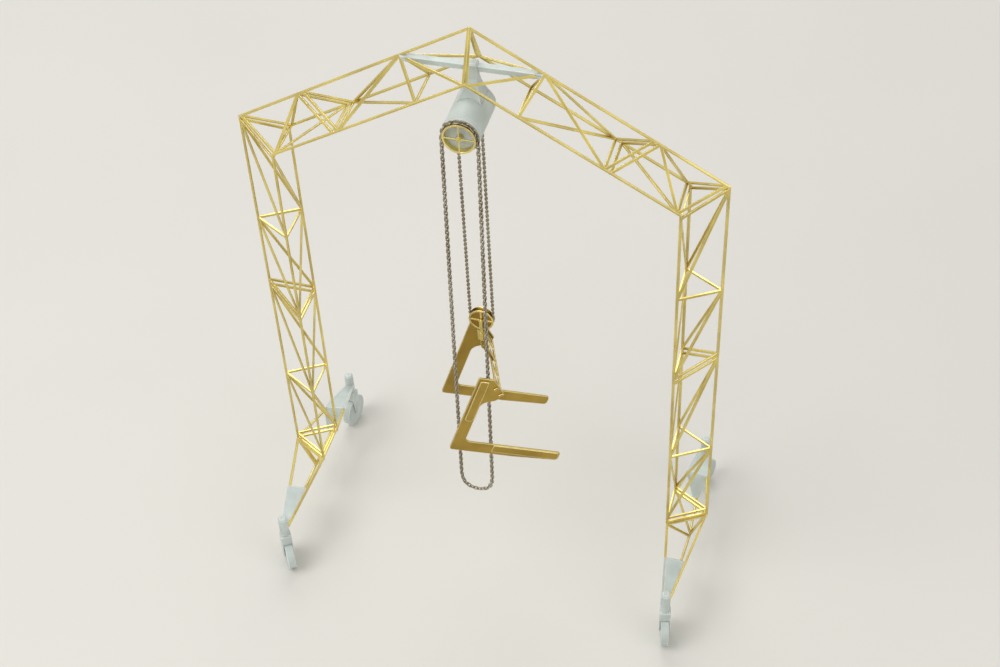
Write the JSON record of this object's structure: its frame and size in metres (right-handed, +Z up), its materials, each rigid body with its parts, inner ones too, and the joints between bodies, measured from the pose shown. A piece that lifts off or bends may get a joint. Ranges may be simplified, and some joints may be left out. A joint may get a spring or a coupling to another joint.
{
  "type": "gantry crane",
  "caption": "Rolling gantry crane of triangular lattice trusses on swivel castors, with a hand chain hoist, pulley block and hanging pallet fork.",
  "frame": {"origin": "on the floor, in the middle of the crane's outline", "axes": "+Z up, +X along the span to the right as seen from the hand wheel, +Y away from the hand wheel"},
  "size_m": [0.075, 0.0416, 0.1079],
  "materials": {
    "brass": "bare etched sheet brass, softly shiny",
    "resin": "pale grey cast resin, satin",
    "chain": "fine metal chain, dulled"
  },
  "bodies": {
    "frame": {"left_column_lower": "brass", "left_column_upper": "brass", "left_girder_outer": "brass", "left_girder_inner": "brass", "left_bogie": "brass", "right_column_lower": "brass", "right_column_upper": "brass", "right_girder_outer": "brass", "right_girder_inner": "brass", "right_bogie": "brass", "foot_front_left": "resin", "foot_front_right": "resin", "foot_rear_left": "resin", "foot_rear_right": "resin", "cross_beam": "resin", "hoist_casing": "resin", "hoist_front_cover": "resin", "hoist_rear_cover": "resin", "chain_anchor_pin": "brass", "hand_chain": "chain", "load_chain": "chain"},
    "castor_front_left": {"castor_fork_front_left": "resin", "kingpin_front_left": "brass", "axle_front_left": "resin"},
    "rolling_front_left": {"wheel_front_left": "resin"},
    "castor_front_right": {"castor_fork_front_right": "resin", "kingpin_front_right": "brass", "axle_front_right": "resin"},
    "rolling_front_right": {"wheel_front_right": "resin"},
    "castor_rear_left": {"castor_fork_rear_left": "resin", "kingpin_rear_left": "brass", "axle_rear_left": "resin"},
    "rolling_rear_left": {"wheel_rear_left": "resin"},
    "castor_rear_right": {"castor_fork_rear_right": "resin", "kingpin_rear_right": "brass", "axle_rear_right": "resin"},
    "rolling_rear_right": {"wheel_rear_right": "resin"},
    "hoist_drive": {"hand_wheel": "brass", "hoist_shaft": "brass", "chain_barrel": "brass"},
    "block": {"block_cheek_front": "brass", "block_cheek_rear": "brass", "block_bridge": "brass", "block_rivets": "brass", "sheave_pin": "brass"},
    "sheave": {"block_sheave": "brass"},
    "swivel": {"yoke": "brass", "swivel_nut": "brass", "yoke_pin": "brass"},
    "fork": {"fork_arm_front": "brass", "fork_arm_rear": "brass", "back_strip_front": "brass", "back_strip_rear": "brass", "tine_strip_front": "brass", "tine_strip_rear": "brass", "spreader": "brass", "hanger_lug": "brass", "fork_rivets": "brass"}
  },
  "joints": [
    {"name": "castor_swivel_front_left", "type": "hinge", "parent": "frame", "child": "castor_front_left", "pos_m": [-0.03388, -0.01769, 0.0084], "axis": [0, 0, 1], "continuous": true},
    {"name": "wheel_spin_front_left", "type": "hinge", "parent": "castor_front_left", "child": "rolling_front_left", "pos_m": [-0.03388, -0.01769, 0.003], "axis": [0.829, 0.5592, 0], "continuous": true},
    {"name": "castor_swivel_front_right", "type": "hinge", "parent": "frame", "child": "castor_front_right", "pos_m": [0.03388, -0.01769, 0.0084], "axis": [0, 0, 1], "continuous": true},
    {"name": "wheel_spin_front_right", "type": "hinge", "parent": "castor_front_right", "child": "rolling_front_right", "pos_m": [0.03388, -0.01769, 0.003], "axis": [0.9781, 0.2079, 0], "continuous": true},
    {"name": "castor_swivel_rear_left", "type": "hinge", "parent": "frame", "child": "castor_rear_left", "pos_m": [-0.03388, 0.01769, 0.0084], "axis": [0, 0, 1], "continuous": true},
    {"name": "wheel_spin_rear_left", "type": "hinge", "parent": "castor_rear_left", "child": "rolling_rear_left", "pos_m": [-0.03388, 0.01769, 0.003], "axis": [0.9903, -0.1392, 0], "continuous": true},
    {"name": "castor_swivel_rear_right", "type": "hinge", "parent": "frame", "child": "castor_rear_right", "pos_m": [0.03388, 0.01769, 0.0084], "axis": [0, 0, 1], "continuous": true},
    {"name": "wheel_spin_rear_right", "type": "hinge", "parent": "castor_rear_right", "child": "rolling_rear_right", "pos_m": [0.03388, 0.01769, 0.003], "axis": [0.9063, -0.4226, 0], "continuous": true},
    {"name": "load_lift", "type": "slide", "parent": "frame", "child": "block", "axis": [0, 0, 1], "range_m": [-0.024, 0.026], "deforming": ["load_chain"]},
    {"name": "hand_wheel_turn", "type": "hinge", "parent": "frame", "child": "hoist_drive", "pos_m": [0, -0.00734, 0.0942], "axis": [0, -1, 0], "continuous": true},
    {"name": "sheave_turn", "type": "hinge", "parent": "block", "child": "sheave", "pos_m": [0, -0.0027, 0.05433], "axis": [0, -1, 0], "continuous": true},
    {"name": "fork_swivel", "type": "hinge", "parent": "block", "child": "swivel", "pos_m": [0, -0.0027, 0.0509], "axis": [0, 0, 1], "range_deg": [-1, 95]},
    {"name": "fork_tilt", "type": "hinge", "parent": "swivel", "child": "fork", "pos_m": [0, -0.0027, 0.0485], "axis": [0.3843, -0.9232, 0], "range_deg": [-3, 30]}
  ],
  "couplings": [
    {"joint": "hand_wheel_turn", "follows": "load_lift", "rad_per_m": 1066.7},
    {"joint": "sheave_turn", "follows": "load_lift", "rad_per_m": 533.33}
  ]
}
